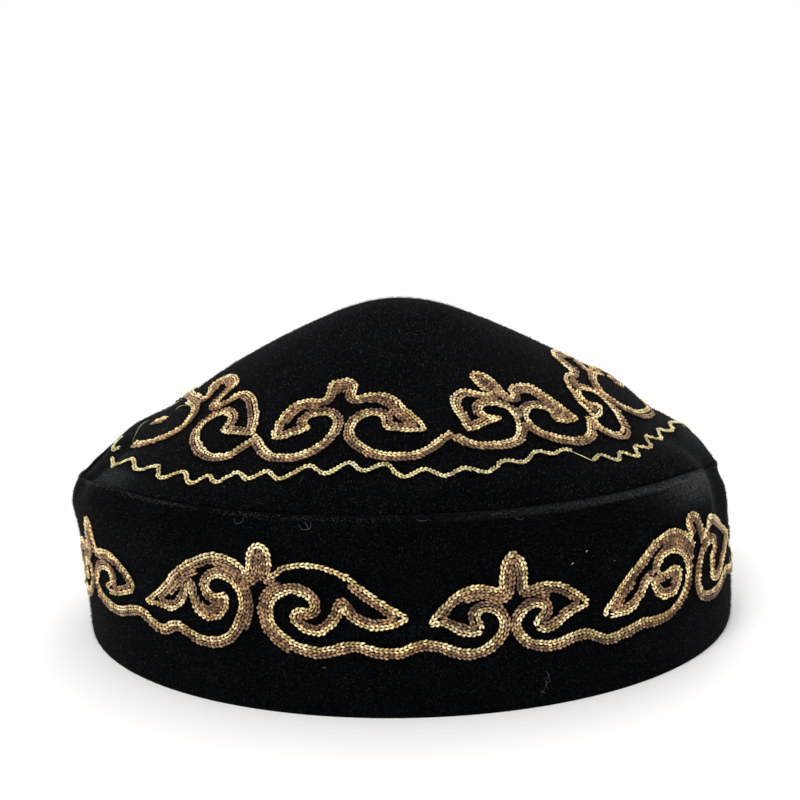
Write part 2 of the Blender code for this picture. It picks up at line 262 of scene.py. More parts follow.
RIGHT_CROWN_SCROLL = Chart((
    ((-20.5, 25.5), (-19, 23.2), (-17, 22.2), (-13, 21.8), (-9, 22), (-6.5, 23), (-4.5, 25), (-3, 27.5),
     (-2.3, 30.5), (-2.4, 33), (-4, 34.8), (-6.5, 35.2), (-8.7, 34.3), (-9.2, 32.6), (-8, 31.3),
     (-5, 30.9)),
    ((-4.5, 30.6), (-6, 29.3), (-9, 28.7), (-12, 27.5), (-15, 26.4), (-17.5, 26.4)),
    ((-18.2, 26.1), (-17.5, 29.5), (-17.2, 32.3), (-16.3, 37.6), (-14, 40.9), (-10.6, 42.8), (-8.3, 42.4),
     (-6.1, 41.1), (-4.2, 40.3), (-3.2, 40.2), (-4.2, 41.5), (-4.9, 43.4), (-5.2, 46.3), (-4.6, 48.6),
     (-2.7, 49.6), (-0.3, 49), (1, 46.7), (1.5, 43.2), (1.6, 40.1), (2, 37.8), (2.3, 39.3), (3, 41.2),
     (4.8, 42.3), (8, 42.4), (11.4, 41.3), (13.1, 37.8), (14.6, 33.3), (16, 29.6), (17.3, 26)),
    ((17.4, 25.3), (14.1, 24.7), (10.8, 25.1), (8.6, 26.4), (8.9, 28.4), (9.2, 30), (7.9, 31.4),
     (5.7, 31.8), (3, 30.6), (1.8, 28.6), (1.6, 25.9), (3.3, 23.6), (5.9, 21.6), (9.2, 20.4),
     (13.1, 19.8), (16.1, 20.8), (18.1, 23), (20.2, 25.8)),
), (Span(2, 0.70, 0.98),))
WIDE_CROWN_SCROLL = Chart((
    ((-16.2, 24.8), (-17, 22.6), (-17.2, 20.7), (-15.8, 19.4), (-13, 19.4), (-10, 21), (-7, 24), (-4, 28),
     (-2.6, 31), (-3, 33.6), (-5.5, 34.6), (-8.5, 33.2), (-10, 31), (-9.5, 29.6), (-7, 28.8)),
    ((-6.7, 28.3), (-9, 26.5), (-12, 24.8), (-15.2, 24)),
    ((-16.3, 24.6), (-15.2, 28), (-13.9, 30.8), (-9.8, 36.2), (-5.5, 40.3), (-1.9, 42), (2, 42),
     (4, 43), (4.9, 45.3), (6.6, 48), (9.8, 50.2), (14.6, 50.3), (19.4, 48.6), (21.6, 45), (20, 42),
     (16.8, 39.9), (15.2, 39.1), (18.5, 39.2), (23, 38.6), (27, 37.4), (34, 35.5), (41, 32.5), (45, 28.8),
     (46.6, 25.4)),
    ((20.5, 33.8), (18.5, 35.6), (15, 36.2), (10.5, 35.8), (6, 34), (2.9, 31.8), (1.6, 28.5),
     (2.8, 25.3), (6, 23.4), (10.5, 22.5), (17, 22), (21, 21.7), (24.6, 22.2), (26.4, 23.4)),
    ((24.8, 32.2), (23.2, 31.3), (22.3, 29.8), (19.8, 28.2)),
), (Span(2, 0.04, 0.24), Span(2, 0.30, 0.52)))

# Scrolls round the band: place along the hem from the middle of the front, and the height of the
# line halfway to the next one, in millimetres
BandScroll = namedtuple("BandScroll", "along chart next_level")
BAND_SCROLLS = (
    BandScroll(-105.0, ROUND_TALL_SCROLL, 18.1),
    BandScroll(-38.0, BROAD_SCROLL, 18.4),
    BandScroll(27.0, TALL_SCROLL, 16.4),
    BandScroll(89.0, BENT_BROAD_SCROLL, 18.4),
    BandScroll(155.0, TALL_SCROLL, 18.4),
    BandScroll(221.0, BROAD_SCROLL, 18.4),
    BandScroll(287.0, WAVED_TALL_SCROLL, 18.4),
    BandScroll(353.0, BROAD_SCROLL, 18.4),
    BandScroll(418.0, TALL_SCROLL, 18.4),
)
# Across a chart, in millimetres: how far its line goes, how far it is kept as charted, and from
# where and over how far its ends are raised. The line is drawn out only where it is low.
CHART_REACH = 33.0
KEPT_REACH = 20.0
RAISED_FROM = 12.0
RAISED_OVER = 18.0
LOW_LINE = 20.9
LOW_FADE = 1.5

# Scrolls round the crown: place along the seam from the middle of the front, in millimetres
CrownScroll = namedtuple("CrownScroll", "along chart")
CROWN_SCROLLS = (
    CrownScroll(-89.0, TILTED_CROWN_SCROLL),
    CrownScroll(-21.0, LEFT_CROWN_SCROLL),
    CrownScroll(48.0, RIGHT_CROWN_SCROLL),
    CrownScroll(100.0, WIDE_CROWN_SCROLL),
    CrownScroll(208.0, RIGHT_CROWN_SCROLL),
    CrownScroll(280.0, LEFT_CROWN_SCROLL),
    CrownScroll(352.0, RIGHT_CROWN_SCROLL),
)
# The crown's charts follow the edge of the gold row, this far from its middle
CROWN_CHART_EDGE = 0.75

# Turning points of the zigzag over the seam, in millimetres along the seam and up the slope
ZIGZAG_RUNS = (
    ((-130, 12.3), (-128.5, 10.8), (-126, 9.7), (-122, 9.5), (-120.3, 10.8)),
    ((-118.8, 7.9), (-104.2, 6.5), (-98.2, 9.7), (-86.9, 7.1), (-82.3, 9.9), (-74.5, 6.1), (-69.1, 9.7),
     (-61.9, 6.1), (-58.7, 9.7), (-54.7, 7.3), (-49.8, 11.7), (-45, 9.5), (-40.6, 12.8), (-36, 10.1),
     (-28, 15.2), (-22, 12.6), (-16, 16.5), (-11, 13.6), (-5, 16), (0.4, 11.3), (7, 13.7), (12.4, 11.1),
     (19, 13.3), (24.9, 11.3), (32, 14.9), (37.4, 13.6), (44, 17), (49, 15.4), (53.9, 16.5), (56.3, 15.5)),
    ((60.3, 11.1), (65.1, 12.9), (68.3, 9.7), (73.8, 12.5), (76.9, 9.3), (83.1, 13.5), (87.7, 11.5),
     (96, 15.9), (100.5, 13.7), (113, 16.3), (119.6, 13.7), (132, 14), (147.5, 8)),
)
# Size of its links beside those of the scrolls
ZIGZAG_SIZE = 0.85
# The hidden run: its last place along the seam, its turns, their heights, and how much lower and
# over how long it passes both ends of the cap
HIDDEN_END = 406.0
HIDDEN_TURNS = 50
HIDDEN_UP = (9.0, 6.6)
HIDDEN_DIP = 4.8
DIP_REACH = 20.0
DIP_FADE = 18.0

# Thread colours along the shade: the dark stops carry the painted shade of the strands' tips and undersides
GOLD_SHADES = ((0.10, (0.025, 0.015, 0.003)), (0.38, (0.31, 0.205, 0.066)), (0.76, (1.0, 0.87, 0.54)))
BROWN_SHADES = ((0.10, (0.009, 0.004, 0.001)), (0.42, (0.105, 0.050, 0.018)), (0.88, (0.55, 0.355, 0.185)))
ZIGZAG_SHADES = ((0.08, (0.04, 0.03, 0.010)), (0.40, (0.40, 0.34, 0.15)), (0.84, (0.98, 0.92, 0.58)))
GOLD_TINT = (1.0, 0.92, 0.74, 1.0)
BROWN_TINT = (0.95, 0.82, 0.70, 1.0)

# Loose threads, and lint: which wall, points charted on it in millimetres, radius and lift in
# millimetres, and how pale
Loose = namedtuple("Loose", "wall points radius lift shade")
LOOSE = (
    Loose("crown", ((-117.4, 13.9), (-122, 16), (-131, 18.2), (-140, 19.3)), 0.05, 0.9, 0.80),
    Loose("crown", ((-125, 28.1), (-121, 29.9), (-117, 31.4)), 0.05, 0.5, 0.80),
    Loose("crown", ((56.3, 15.5), (58.4, 13.2), (60.3, 11.1)), 0.11, 0.1, 0.95),
    Loose("band", ((43.0, 37.0), (43.3, 37.4), (43.7, 37.5)), 0.11, 0.1, 0.85),
    Loose("band", ((47.3, 39.7), (47.6, 40.0), (48.0, 39.9)), 0.09, 0.1, 0.75),
)
LINT = (
    Loose("crown", ((-29, 8.9), (-28.5, 10.6), (-28.7, 12.4)), 0.035, 0.5, 0.76),
    Loose("crown", ((14.5, 68.8), (17, 68.2), (20, 68.6)), 0.035, 0.3, 0.72),
    Loose("band", ((-45, 50.6), (-44, 49.4), (-42.4, 49.7), (-42, 51.2)), 0.035, 0.4, 0.86),
    Loose("band", ((-26.8, 50.2), (-25.2, 49), (-23.4, 49.6), (-23.6, 51)), 0.035, 0.4, 0.92),
    Loose("band", ((-25.4, 50.8), (-24.3, 49.9), (-23.7, 48.9)), 0.035, 0.3, 0.92),
    Loose("band", ((3.4, 51.4), (5.0, 50.9), (6.8, 51.3)), 0.035, 0.2, 0.86),
    Loose("band", ((29, 50.4), (30.4, 49.7), (31.4, 50.2)), 0.035, 0.2, 0.82),
    Loose("band", ((-70.4, 10.6), (-70.1, 10.9), (-69.8, 10.8)), 0.08, 0.1, 0.88),
    Loose("band", ((-23.0, 13.2), (-22.5, 13.5), (-21.9, 13.4)), 0.08, 0.1, 0.88),
    Loose("band", ((55.8, 35.7), (56.1, 36.0), (56.4, 35.9)), 0.09, 0.1, 0.95),
    Loose("band", ((69.9, 33.0), (70.2, 33.3), (70.6, 33.1)), 0.09, 0.1, 0.95),
    Loose("band", ((34.4, 9.8), (34.8, 8.6), (34.6, 7.2)), 0.04, 0.2, 0.82),
    Loose("band", ((35.3, 8.8), (35.0, 7.6), (35.6, 6.2)), 0.04, 0.2, 0.78),
    Loose("band", ((33.6, 8.0), (34.2, 6.8), (33.9, 5.4)), 0.04, 0.2, 0.80),
    Loose("band", ((34.9, 6.9), (34.3, 5.8), (34.6, 4.6)), 0.04, 0.2, 0.84),
    Loose("band", ((32.4, 4.6), (33.2, 4.2), (34.2, 3.6)), 0.04, 0.2, 0.84),
    Loose("band", ((34.0, 5.2), (33.3, 4.4), (32.6, 3.3)), 0.04, 0.2, 0.78),
)
LOOSE_SIDES = 4
LOOSE_STEP = 0.2
THINNEST_TIP = 0.05

# Pile of the velvet: its fibres, whose pale tips are painted sheen, those crushed along the seam, and
# the grid of cells that keeps them off the stitches, in millimetres from SEAM_UP on
# Pale colour of crushed pile, also painted on ledges and fold edges as a sheen highlight
CRUSHED_PILE_AND_SHEEN = (0.066, 0.077, 0.082, 1.0)
FIBRES = 60000
FIBRE_LENGTH = 0.75 * MM
FIBRE_LENGTHS = (0.6, 1.15)
FIBRE_HALF_WIDTH = 0.042 * MM
FIBRE_SPREAD = 0.38
FIBRE_LEAN = (0.0, 0.0, -0.25)
ROOT_DEPTH = 0.1 * MM
ROOT_SHADE = 0.75
SEAM_FIBRES = 7000
SEAM_CLUMPS = 130
SEAM_UP = 51.5
SEAM_SPREAD = 0.3
CLUMP_SPREAD = 2.4
PEAK_CLEARANCE = 0.5
CLEARED_REACH = 1.1
CELLS_PER_MM = 2

# Colours of the velvet and of the cloth behind it, as stops of a ramp where there are several
BAND_BLACKS = ((0.35, (0.0005, 0.0008, 0.0010)), (0.75, (0.0016, 0.0022, 0.0026)))
CROWN_BLACKS = ((0.35, (0.0006, 0.0008, 0.0010)), (0.75, (0.0020, 0.0024, 0.0028)))
VELVET_SPECKS = ((0.45, (0.2, 0.2, 0.2)), (0.60, (1.0, 1.0, 1.0)), (0.76, (9.0, 9.0, 8.8)))
# Gaps in the pale of crushed pile and painted sheen
CRUSHED_AND_SHEEN_GAPS = ((0.38, (0.16, 0.16, 0.16)), (0.66, (1.0, 1.0, 1.0)))
SHEEN_TINT = (0.42, 0.47, 0.50, 1.0)
CLOTH_SHADES = ((0.3, (0.008, 0.008, 0.009)), (0.7, (0.030, 0.028, 0.028)))
DYE_PATCHES = ((0.42, (0.0, 0.0, 0.0)), (0.60, (1.0, 1.0, 1.0)))
THREAD_HAIRS = ((0.35, (0.55, 0.5, 0.45)), (0.65, (1.35, 1.35, 1.3)))
FIBRE_BLACKS = ((0.0, (0.001, 0.001, 0.0012)), (0.6, (0.006, 0.0062, 0.0064)))

# Surroundings, in metres
FLOOR_HALF = 3.0
FLOOR_BACK = 0.75
LIGHT_TARGET = (0.0, 0.0, 0.04)
Light = namedtuple("Light", "name place size power colour")
LIGHTS = (
    Light("front_light", (-0.5, -0.9, 1.0), 0.5, 9.0, (1.0, 0.98, 0.95)),
    Light("back_light", (0.3, 0.9, 1.2), 1.0, 5.0, (1.0, 1.0, 1.0)),
)
CAMERA_PLACE = (-0.14 * MM, -380.0 * MM, 140.5 * MM)
CAMERA_PITCH = 11.247
CAMERA_ROLL = 1.463
FOCAL_LENGTH = 55.9
SENSOR_WIDTH = 36.0
CAMERA_NEAR = 0.01


def smooth(x):
    """Rise from 0 to 1 as x goes from 0 to 1, level at both ends."""
    x = np.clip(x, 0.0, 1.0)
    return x * x * (3.0 - 2.0 * x)


def bell(x):
    """Rounded bump of height 1 at x = 0: e to the power of minus half x squared."""
    return np.exp(-0.5 * x * x)


def bell_round(angle, form):
    """Bell round the cap, centred on a form's angle: its degrees the short way, by half width."""
    away = (angle - form.angle + 180.0) % 360.0 - 180.0
    return bell(away / form.half_width)


def unit(vectors):
    """The vectors at length 1."""
    return vectors / np.linalg.norm(vectors, axis=-1, keepdims=True)


def stacked(*parts):
    """The parts side by side along a new last axis."""
    return np.stack(parts, axis=-1)


def cubic(places, values, tangents, x):
    """Cubic pieces through the values at the places, with the tangents given there, read at x."""
    i = np.clip(np.searchsorted(places, x, side="right") - 1, 0, len(places) - 2)
    width = places[i + 1] - places[i]
    t = np.clip((x - places[i]) / width, 0.0, 1.0)
    if values.ndim == 2:
        width, t = width[:, None], t[:, None]
    start = (1.0 + 2.0 * t) * (1.0 - t) ** 2 * values[i] + t * (1.0 - t) ** 2 * width * tangents[i]
    end = t * t * (3.0 - 2.0 * t) * values[i + 1] + t * t * (t - 1.0) * width * tangents[i + 1]
    return start + end


def curve(x, rows):
    """Cubic curve through the rows that never overshoots them, level at its first row."""
    places, values = np.array(rows, dtype=float).T
    slopes = np.diff(values) / np.diff(places)
    before, after = slopes[:-1], slopes[1:]
    turning = before * after <= 0.0
    total = np.where(turning, 1.0, before + after)
    inner = np.where(turning, 0.0, 2.0 * before * after / total)
    return cubic(places, values, np.concatenate([[0.0], inner, slopes[-1:]]), x)


def oval(angle, outward):
    """Point on the hem's oval moved outward along its normal, and that normal."""
    radians = np.radians(angle)
    across, along = np.cos(radians), np.sin(radians)
    normal = unit(stacked(across / HALF_LENGTH, along / HALF_WIDTH))
    point = stacked(HALF_LENGTH * across, HALF_WIDTH * along)
    return point + normal * np.asarray(outward)[..., None], normal


def seam_drop(angle):
    """How far the seam lies under its usual height: a bell at each end."""
    return sum(dip.depth * bell_round(angle, dip) for dip in SEAM_DIPS)


def inward(angle, station):
    """How far creases and swells move the cloth in: bells round it, grown and faded by station."""
    total = 0.0
    for crease in CREASES:
        grows = smooth((station - crease.start) / (crease.full - crease.start))
        fades = 1.0 - smooth((station - crease.hold) / (crease.end - crease.hold))
        total = total + crease.depth * bell_round(angle, crease) * grows * fades
    for swell in SWELLS:
        upward = bell((station - swell.station) / swell.spread)
        total = total - swell.amount * bell_round(angle, swell) * upward
    return total


def shaped(points, normal, angle, station):
    """Lean the points, move them by the creases and swells, and centre them."""
    depth = inward(angle, station)
    downward = curve(station, TILT)
    sideways = depth * (1.0 - SIDEWAYS_LOSS * downward)
    lean = LEAN * (0.5 - smooth(station))
    points[..., 0] += lean + CENTRE_SHIFT - sideways * normal[..., 0]
    points[..., 1] -= sideways * normal[..., 1]
    points[..., 2] -= depth * downward
    return points


def band_face(angle, station):
    """Outside of the band: the oval moved out by the profile, raised evenly from hem to seam."""
    angle, station = np.broadcast_arrays(angle, station)
    plan, normal = oval(angle, curve(station, np.array(BAND_PROFILE) * (1.0, MM)))
    height = station * (SEAM_HEIGHT - seam_drop(angle))
    points = np.concatenate([plan, height[..., None]], axis=-1)
    return shaped(points, normal, angle, station)


def crown_face(angle, share):
    """Outside of the crown: the seam's oval shrunk by the share, at the profile's height."""
    angle, share = np.broadcast_arrays(angle, share)
    plan, normal = oval(angle, -EDGE_INSET)
    height = SEAM_HEIGHT + curve(share, np.array(CROWN_PROFILE) * (1.0, MM))
    height = height - seam_drop(angle) * smooth((share - DIP_STARTS) / (1.0 - DIP_STARTS))
    for hollow in HOLLOWS:
        upward = bell((share - hollow.share) / hollow.spread)
        height = height - hollow.depth * bell_round(angle, hollow) * upward
    points = np.concatenate([plan * share[..., None], height[..., None]], axis=-1)
    return shaped(points, normal, angle, 2.0 - share)


def band_normal(angle, station):
    """Outward normal of the band: the way round crossed with the way up."""
    around = band_face(angle + BAND_TURN, station) - band_face(angle - BAND_TURN, station)
    rise = band_face(angle, station + SMALL_STEP) - band_face(angle, station - SMALL_STEP)
    return unit(np.cross(around, rise))


def crown_slopes(angle, share):
    """Unit vector down the slope of the crown, and the outward normal there."""
    inner = np.clip(share - SMALL_STEP, SMALL_STEP, 1.0)
    down = crown_face(angle, inner + SMALL_STEP) - crown_face(angle, inner)
    around = crown_face(angle + CROWN_TURN, share) - crown_face(angle - CROWN_TURN, share)
    return unit(down), unit(np.cross(down, around))


def crown_normal(angle, share):
    """Outward normal of the crown."""
    return crown_slopes(angle, share)[1]


def running_length(points):
    """Distance along a line of points, from 0 at the first."""
    steps = np.linalg.norm(np.diff(points, axis=0), axis=1)
    return np.concatenate([[0.0], np.cumsum(steps)])


def arc_lengths(outward):
    """Way round the moved oval to each of the ARC_ANGLES, in millimetres from the front."""
    arc = running_length(oval(ARC_ANGLES, outward)[0]) / MM
    return arc - np.interp(FRONT, ARC_ANGLES, arc)


# Lengths in millimetres: round the hem and the seam by angle, once round them, and up the crown
ARC_ANGLES = np.linspace(FRONT - 180.0, FRONT + 540.0, ARC_STEPS)
HEM_ARC = arc_lengths(0.0)
SEAM_ARC = arc_lengths(-EDGE_INSET)
HEM_ROUND = np.interp(FRONT + 360.0, ARC_ANGLES, HEM_ARC)
SEAM_ROUND = np.interp(FRONT + 360.0, ARC_ANGLES, SEAM_ARC)
SLOPE_SHARES = np.linspace(1.0, 0.0, SLOPE_STEPS)
SLOPE_LENGTH = running_length(crown_face(FRONT, SLOPE_SHARES)) / MM
COLUMN_ANGLES = np.arange(COLUMNS) * 360.0 / COLUMNS

# Half the way from each band scroll to the next, in millimetres, from the left of the first one on
BAND_PLACES = [scroll.along for scroll in BAND_SCROLLS]
HALFWAYS = np.diff([BAND_PLACES[-1] - HEM_ROUND, *BAND_PLACES, BAND_PLACES[0] + HEM_ROUND]) / 2.0


def on_band(along, up):
    """Angle and station of a place charted on the band, in millimetres."""
    return np.interp(along, HEM_ARC, ARC_ANGLES), up * MM / SEAM_HEIGHT


def on_crown(along, up):
    """Angle and share of a place charted on the crown, along the seam and up the slope."""
    return np.interp(along, SEAM_ARC, ARC_ANGLES), np.interp(up, SLOPE_LENGTH, SLOPE_SHARES)


Wall = namedtuple("Wall", "place face normal")
WALLS = {
    "band": Wall(on_band, band_face, band_normal),
    "crown": Wall(on_crown, crown_face, crown_normal),
}


def add_object(name, data):
    """Object of the data, put into the scene."""
    item = bpy.data.objects.new(name, data)
    bpy.context.collection.objects.link(item)
    return item


def mesh_piece(name, points, faces, material, shade):
    """Smooth piece from an array of points, a shade for each, and a list of arrays of faces."""
    data = bpy.data.meshes.new(name)
    corners = [face for group in faces for face in group.tolist()]
    data.from_pydata(points.reshape(-1, 3), [], corners, shade_flat=False)
    layer = data.attributes.new("shade", "FLOAT", "POINT")
    layer.data.foreach_set("value", np.asarray(shade, np.float32).ravel())
    data.materials.append(material)
    piece = add_object(name, data)
    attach(piece, "root")
    return piece


def ring_faces(rings, columns, closed=False):
    """Quads between each ring and the next, and from the last to the first where it is closed."""
    index = np.arange(rings * columns).reshape(rings, columns)
    here = index if closed else index[:-1]
    above = np.roll(index, -1, axis=0)[:len(here)]
    quads = stacked(here, np.roll(here, -1, axis=1), np.roll(above, -1, axis=1), above)
    return quads.reshape(-1, 4)


def crushed_and_sheen(angle, station):
    """How pale the pile is, crushed and with painted sheen: the sum of the ridges, each a bell round it and
    level along its span.
    """
    total = 0.0
    for ridge in RIDGES:
        starts = smooth((station - ridge.start) / ridge.rise)
        ends = 1.0 - smooth((station - ridge.end) / RIDGE_FADE)
        total = total + ridge.amount * bell_round(angle, ridge) * starts * ends
    return np.clip(total, 0.0, 1.0)


def line_inside(piece, cloth, first, last):
    """Give the inner faces, those whose rings lie from first up to last, the plain cloth."""
    piece.data.materials.append(cloth)
    inner = np.zeros(len(piece.data.polygons), np.int32)
    inner[first * COLUMNS:last * COLUMNS] = 1
    piece.data.polygons.foreach_set("material_index", inner)


def make_band(material, cloth):
    """Band wall: rings up the outside, over the top edge and down the inside, closed at the hem.

    The gap along the crown's edge narrows to nothing at the inside, so no light comes through.
    """
    stations = np.linspace(0.0, BAND_TOP, BAND_RINGS)[:, None]
    outside = band_face(COLUMN_ANGLES, stations)
    rim = crown_face(COLUMN_ANGLES, 1.0)
    down, normal = crown_slopes(COLUMN_ANGLES, 1.0)
    edges = [rim + SEAM_GAP * down, rim - CROWN_WALL * normal]
    inside = band_face(COLUMN_ANGLES, np.linspace(INSIDE_TOP, 0.0, INSIDE_RINGS)[:, None])
    inside[..., :2] -= BAND_WALL * oval(COLUMN_ANGLES, 0.0)[1]
    rings = np.concatenate([outside, edges, inside])
    shade = np.zeros(rings.shape[:2])
    # Paleness of crushed pile and of painted sheen highlight on the outside
    shade[:BAND_RINGS] = crushed_and_sheen(COLUMN_ANGLES, stations)
    quads = ring_faces(len(rings), COLUMNS, closed=True)
    piece = mesh_piece("velvet_band", rings, [quads], material, shade)
    line_inside(piece, cloth, BAND_RINGS + 1, len(rings))
    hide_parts("band")


def make_crown(material, cloth):
    """Crown wall: rings down the inside, round the edge and up the outside, closed at the peak."""
    shares = np.linspace(1.0, PEAK_SHARE, CROWN_RINGS)[:, None]
    inside_shares = np.linspace(INSIDE_PEAK_SHARE, 1.0, INSIDE_RINGS)[:, None]
    inside = crown_face(COLUMN_ANGLES, inside_shares)
    inside = inside - CROWN_WALL * crown_normal(COLUMN_ANGLES, inside_shares)
    rings = np.concatenate([inside, crown_face(COLUMN_ANGLES, shares)])
    peak = crown_face(np.zeros(1), np.zeros(1))[0]
    points = np.concatenate([rings.reshape(-1, 3), [peak - (0.0, 0.0, CROWN_WALL), peak]])
    first = np.arange(COLUMNS)
    last = first + (len(rings) - 1) * COLUMNS
    lower_tip, upper_tip = len(points) - 2, len(points) - 1
    faces = [
        ring_faces(len(rings), COLUMNS),
        stacked(np.full(COLUMNS, lower_tip), np.roll(first, -1), first),
        stacked(last, np.roll(last, -1), np.full(COLUMNS, upper_tip)),
    ]
    shade = np.zeros(len(points))
    # Paleness of crushed pile and of painted sheen highlight on the outside
    shade[INSIDE_RINGS * COLUMNS:-2] = crushed_and_sheen(COLUMN_ANGLES, 2.0 - shares).ravel()
    piece = mesh_piece("velvet_crown", points, faces, material, shade)
    line_inside(piece, cloth, 0, INSIDE_RINGS - 1)
    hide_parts("crown")


def flowing(points, step=CHART_STEP):
    """Curve through the points: between each two a cubic, whose tangents follow the neighbours."""
    points = np.array(points, dtype=float)
    places = running_length(points)
    at = np.linspace(0.0, places[-1], max(int(places[-1] / step), 2))
    return cubic(places, points, np.gradient(points, places, axis=0), at)


def part_of(run, span):
    """Slice of a run between a span's shares of its length."""
    return slice(int(span.start * len(run)), int(span.end * len(run)))


def beside(runs, whole, offset, slack, bare=()):
    """Lines at an offset to the right of the runs, cut where the chart's line is nearer than that
    by more than the slack, and along the bare spans.
    """
    lines = []
    for number, run in enumerate(runs):
        heading = unit(np.gradient(run, axis=0))
        moved = run + offset * stacked(heading[:, 1], -heading[:, 0])
        distance = np.linalg.norm(moved[:, None] - whole[None, ::TESTED_EVERY], axis=-1).min(axis=1)
        kept = distance > offset - slack
        for span in bare:
            if span.run == number:
                kept[part_of(run, span)] = False
        cuts = np.flatnonzero(np.diff(kept.astype(int))) + 1
        lines += [part for part, keep in zip(np.split(moved, cuts), np.split(kept, cuts)) if keep[0]]
    return [line for line in lines if len(line) > 2 and running_length(line)[-1] > LINK_PITCH]


def chart_rows(chart, first):
    """Gold and brown lines of a chart whose points lie at the gold row's middle or edge."""
    runs = [flowing(points) for points in chart.runs]
    whole = np.concatenate(runs)
    gold = runs if first == 0.0 else beside(runs, whole, first, ROW_SLACK)
    brown = beside(runs, whole, first + ROW_PITCH, ROW_SLACK, chart.bare)
    inner = [runs[span.run][part_of(runs[span.run], span)] for span in chart.third]
    return gold, brown + beside(inner, whole, first + THIRD_ROW * ROW_PITCH, THIRD_SLACK)


def on_hem(line, i):
    """Line of a band scroll in its place, its low part drawn out and raised to meet the next ones.

    The line goes halfway to the scroll on either side, where it has the level between the two.
    """
    scroll = BAND_SCROLLS[i]
    across, up = line[:, 0], line[:, 1]
    end = (across >= 0.0).astype(int)
    levels = BAND_SCROLLS[i - 1].next_level, scroll.next_level
    charted = scroll.chart.runs[0][0][1], scroll.chart.runs[-1][-1][1]
    rise = np.subtract(levels, charted)[end] * smooth((np.abs(across) - RAISED_FROM) / RAISED_OVER)
    low = 1.0 - smooth((up - LOW_LINE) / LOW_FADE)
    beyond = np.maximum(np.abs(across) - KEPT_REACH, 0.0) * low
    stretch = (HALFWAYS[i:i + 2][end] - CHART_REACH) / (CHART_REACH - KEPT_REACH)
    return stacked(scroll.along + (across + np.sign(across) * beyond * stretch), up + rise)


def on_seam(line, i):
    """Line of a crown scroll in its place, widened so that the narrower slope takes it as charted."""
    share = np.interp(line[:, 1], SLOPE_LENGTH, SLOPE_SHARES)
    return stacked(CROWN_SCROLLS[i].along + line[:, 0] / share, line[:, 1])


def scroll_rows(scrolls, first, put):
    """Gold lines and brown lines of the scrolls, each put in its place, in millimetres."""
    gold, brown = [], []
    for i, scroll in enumerate(scrolls):
        for rows, lines in zip((gold, brown), chart_rows(scroll.chart, first)):
            rows += [put(line, i) for line in lines]
    return gold, brown


def zigzag_rows():
    """Lines through the turning points, and one with even turns round the hidden side.

    Its turns are lower by HIDDEN_DIP within DIP_REACH of either end, and rise over DIP_FADE.
    """
    first = ZIGZAG_RUNS[-1][-1]
    along = np.linspace(first[0], HIDDEN_END, HIDDEN_TURNS)
    inset = np.minimum(along - first[0], HIDDEN_END - along)
    dip = HIDDEN_DIP * (1.0 - smooth((inset - DIP_REACH) / DIP_FADE))
    up = np.where(np.arange(HIDDEN_TURNS) % 2 == 0, *HIDDEN_UP) - dip
    up[0] = first[1]
    return [flowing(points) for points in (*ZIGZAG_RUNS, stacked(along, up))]


def link_frames(lines, wall, pitch):
    """Start, forward, side, normal and length of each link, at even steps along the lines."""
    starts, ends, normals = [], [], []
    for line in lines:
        angle, station = wall.place(*line.T)
        points = wall.face(angle, station)
        length = running_length(points) / MM
        count = max(int(round(length[-1] / pitch)), 1)
        marks = np.linspace(0.0, length[-1], count + 1)
        on_line = stacked(*(np.interp(marks, length, values) for values in points.T))
        starts.append(on_line[:-1])
        ends.append(on_line[1:])
        places = [np.interp(marks, length, values) for values in (angle, station)]
        normals.append(wall.normal(*places)[:-1])
    starts, ends, normals = (np.concatenate(group) for group in (starts, ends, normals))
    forward = ends - starts
    length = np.linalg.norm(forward, axis=1) / MM
    forward = unit(forward)
    side = unit(np.cross(normals, forward))
    return starts, forward, side, unit(np.cross(forward, side)), length


def link_template():
    """Two bowed strands of a link: rings of points along each, closed at both tips.

    A ring's points lie round its middle at its radius, by the cosine and sine of their turn. Their shades
    are painted shade: dark underneath and at the tips, light on top.
    """
    turn = np.pi / 2.0 + np.arange(STRAND_SIDES) * 2.0 * np.pi / STRAND_SIDES
    along, aside, height, radius, shade = np.array(STRAND[1:-1]).T[:, :, None]
    sideways, upward = aside + radius * np.cos(turn), height + radius * np.sin(turn)
    rings = stacked(*np.broadcast_arrays(along, sideways, upward))
    # Painted shade: each strand dark underneath and light on top
    lit = UNDERSIDE_SHADE + (1.0 - UNDERSIDE_SHADE) * smooth(np.sin(turn) + LIT_REACH)
    tips = np.array([STRAND[0], STRAND[-1]])
    strand = np.concatenate([rings.reshape(-1, 3), tips[:, :3]])
    shades = np.concatenate([(shade * lit).ravel(), tips[:, 4]])
    side = np.arange(STRAND_SIDES)
    following = np.roll(side, -1)
    near, far = np.full((2, STRAND_SIDES), [[len(strand) - 2], [len(strand) - 1]])
    last = STRAND_SIDES * (len(rings) - 1)
    quads = np.roll(ring_faces(len(rings), STRAND_SIDES), -1, axis=1)
    triangles = np.concatenate([
        stacked(near, following, side), stacked(far, last + side, last + following)])
    faces = [np.concatenate([kind, kind[:, ::-1] + len(strand)]) for kind in (quads, triangles)]
    mirrored = strand * (1.0, -1.0, 1.0)
    return np.concatenate([strand, mirrored]), np.concatenate([shades, shades]), *faces


